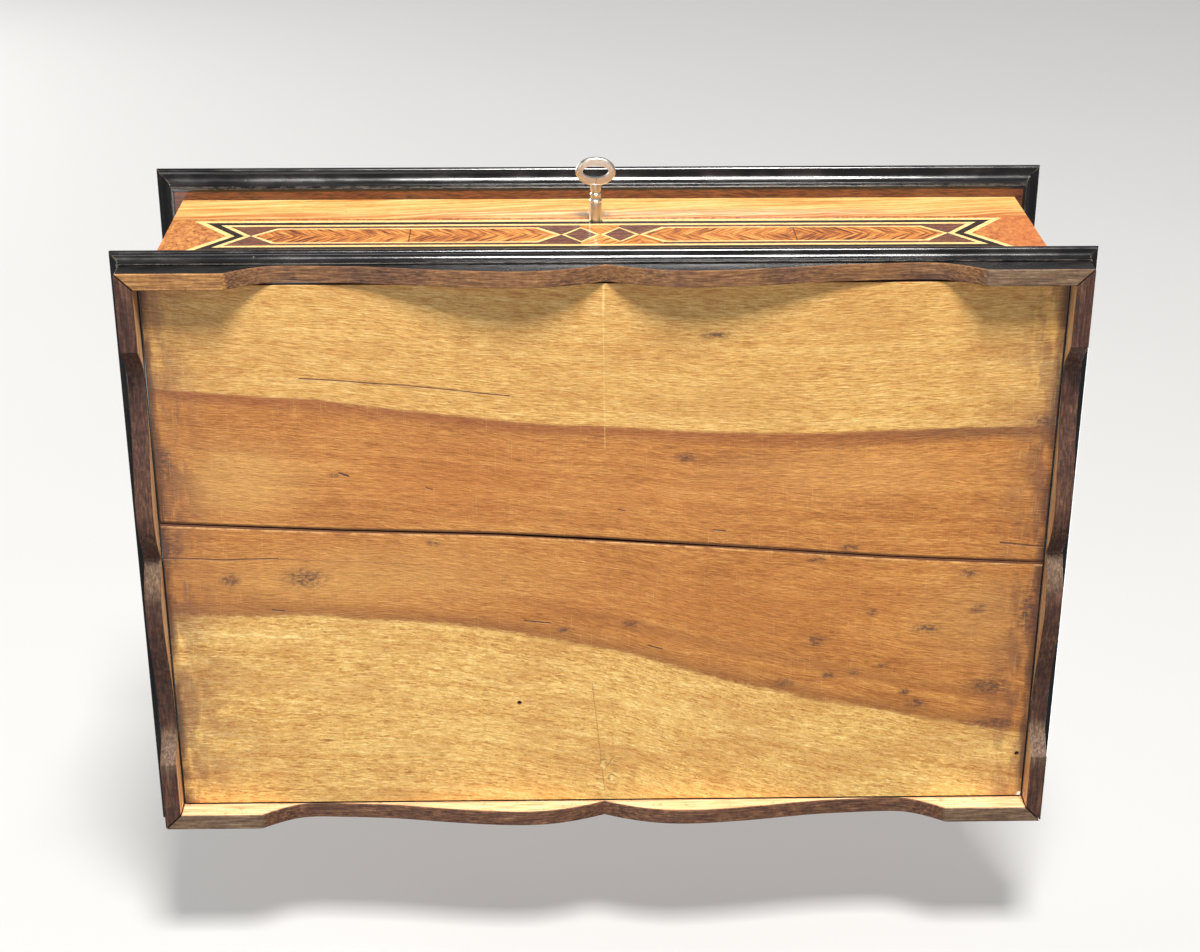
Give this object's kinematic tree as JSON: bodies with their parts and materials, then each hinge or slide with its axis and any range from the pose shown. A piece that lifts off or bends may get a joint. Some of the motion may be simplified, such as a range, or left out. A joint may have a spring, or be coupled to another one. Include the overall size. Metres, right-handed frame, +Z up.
{
  "type": "wooden puzzle box",
  "caption": "Inlaid wooden puzzle box on scalloped bracket feet, with a hinged lid, key and box lock, and a secret end drawer held by a sliding catch.",
  "frame": {"origin": "on the standing plane, under the middle of the overall bounding box with the key in its lock; the carcase is centred 6.55 mm behind it", "axes": "+X to the right-hand end along the longest side, +Y to the hinged back, +Z up; the keyhole front faces -Y"},
  "size_m": [0.3218, 0.2298, 0.108],
  "materials": {
    "ebonised": "gloss",
    "veneer_carcase": "gloss",
    "bottom_wood": "matte",
    "lid_wood": "gloss",
    "drawer_wood": "satin",
    "ebony": "gloss",
    "boxwood": "gloss",
    "walnut": "gloss",
    "satinwood": "gloss",
    "hinge_brass": "satin",
    "lock_steel": "satin",
    "key_nickel": "polished"
  },
  "bodies": {
    "carcase": {"back_apron": "ebonised", "back_board": "veneer_carcase", "back_plinth_moulding": "ebonised", "body_boxwood_stringing": "boxwood", "body_ebony_lines": "ebony", "body_satinwood_inlay": "satinwood", "body_walnut_inlay": "walnut", "bottom_back_plank": "bottom_wood", "bottom_front_plank": "bottom_wood", "drawer_back_runner": "drawer_wood", "drawer_front_runner": "drawer_wood", "drawer_sill": "drawer_wood", "front_apron": "ebonised", "front_board": "veneer_carcase", "front_plinth_moulding": "ebonised", "hinge_screws_body": "hinge_brass", "left_apron": "ebonised", "left_board": "veneer_carcase", "left_hinge_body_leaf": "hinge_brass", "left_hinge_pin": "hinge_brass", "left_plinth_moulding": "ebonised", "lock_case": "lock_steel", "lock_cover_plate": "lock_steel", "lock_key_post": "lock_steel", "lock_screws": "hinge_brass", "right_apron": "ebonised", "right_board": "veneer_carcase", "right_hinge_body_leaf": "hinge_brass", "right_hinge_pin": "hinge_brass", "right_plinth_moulding": "ebonised", "subfloor_left": "drawer_wood", "subfloor_right": "drawer_wood"},
    "lid": {"lid_board": "lid_wood", "lid_front_moulding": "ebonised", "lid_back_moulding": "ebonised", "lid_left_moulding": "ebonised", "lid_right_moulding": "ebonised", "lid_ebony_lines": "ebony", "lid_boxwood_stringing": "boxwood", "lid_walnut_inlay": "walnut", "lid_satinwood_inlay": "satinwood", "left_hinge_lid_leaf": "hinge_brass", "right_hinge_lid_leaf": "hinge_brass", "hinge_screws_lid": "hinge_brass", "strike_plate": "hinge_brass", "strike_screws": "hinge_brass"},
    "key": {"key": "key_nickel"},
    "bolt": {"lock_bolt": "lock_steel"},
    "drawer": {"drawer_front": "veneer_carcase", "drawer_front_side": "drawer_wood", "drawer_back_side": "drawer_wood", "drawer_inner_end": "drawer_wood", "drawer_bottom": "drawer_wood", "drawer_hook": "drawer_wood"},
    "catch": {"catch_slip": "drawer_wood", "catch_peg": "drawer_wood"}
  },
  "joints": [
    {"name": "lid_hinge", "type": "hinge", "parent": "carcase", "child": "lid", "pos_m": [0, 0.10735, 0.1], "axis": [-1, 0, 0], "range_deg": [0, 95]},
    {"name": "key_turn", "type": "hinge", "parent": "carcase", "child": "key", "pos_m": [-0.0022, -0.09195, 0.074], "axis": [0, -1, 0], "range_deg": [0, 90]},
    {"name": "bolt_throw", "type": "slide", "parent": "carcase", "child": "bolt", "axis": [1, 0, 0], "range_m": [0, 0.005]},
    {"name": "drawer_slide", "type": "slide", "parent": "carcase", "child": "drawer", "axis": [1, 0, 0], "range_m": [0, 0.0755]},
    {"name": "catch_slide", "type": "slide", "parent": "carcase", "child": "catch", "axis": [0, 1, 0], "range_m": [0, 0.012]}
  ],
  "couplings": [
    {"joint": "key_turn", "follows": "bolt_throw", "rad_per_m": 314.16}
  ]
}
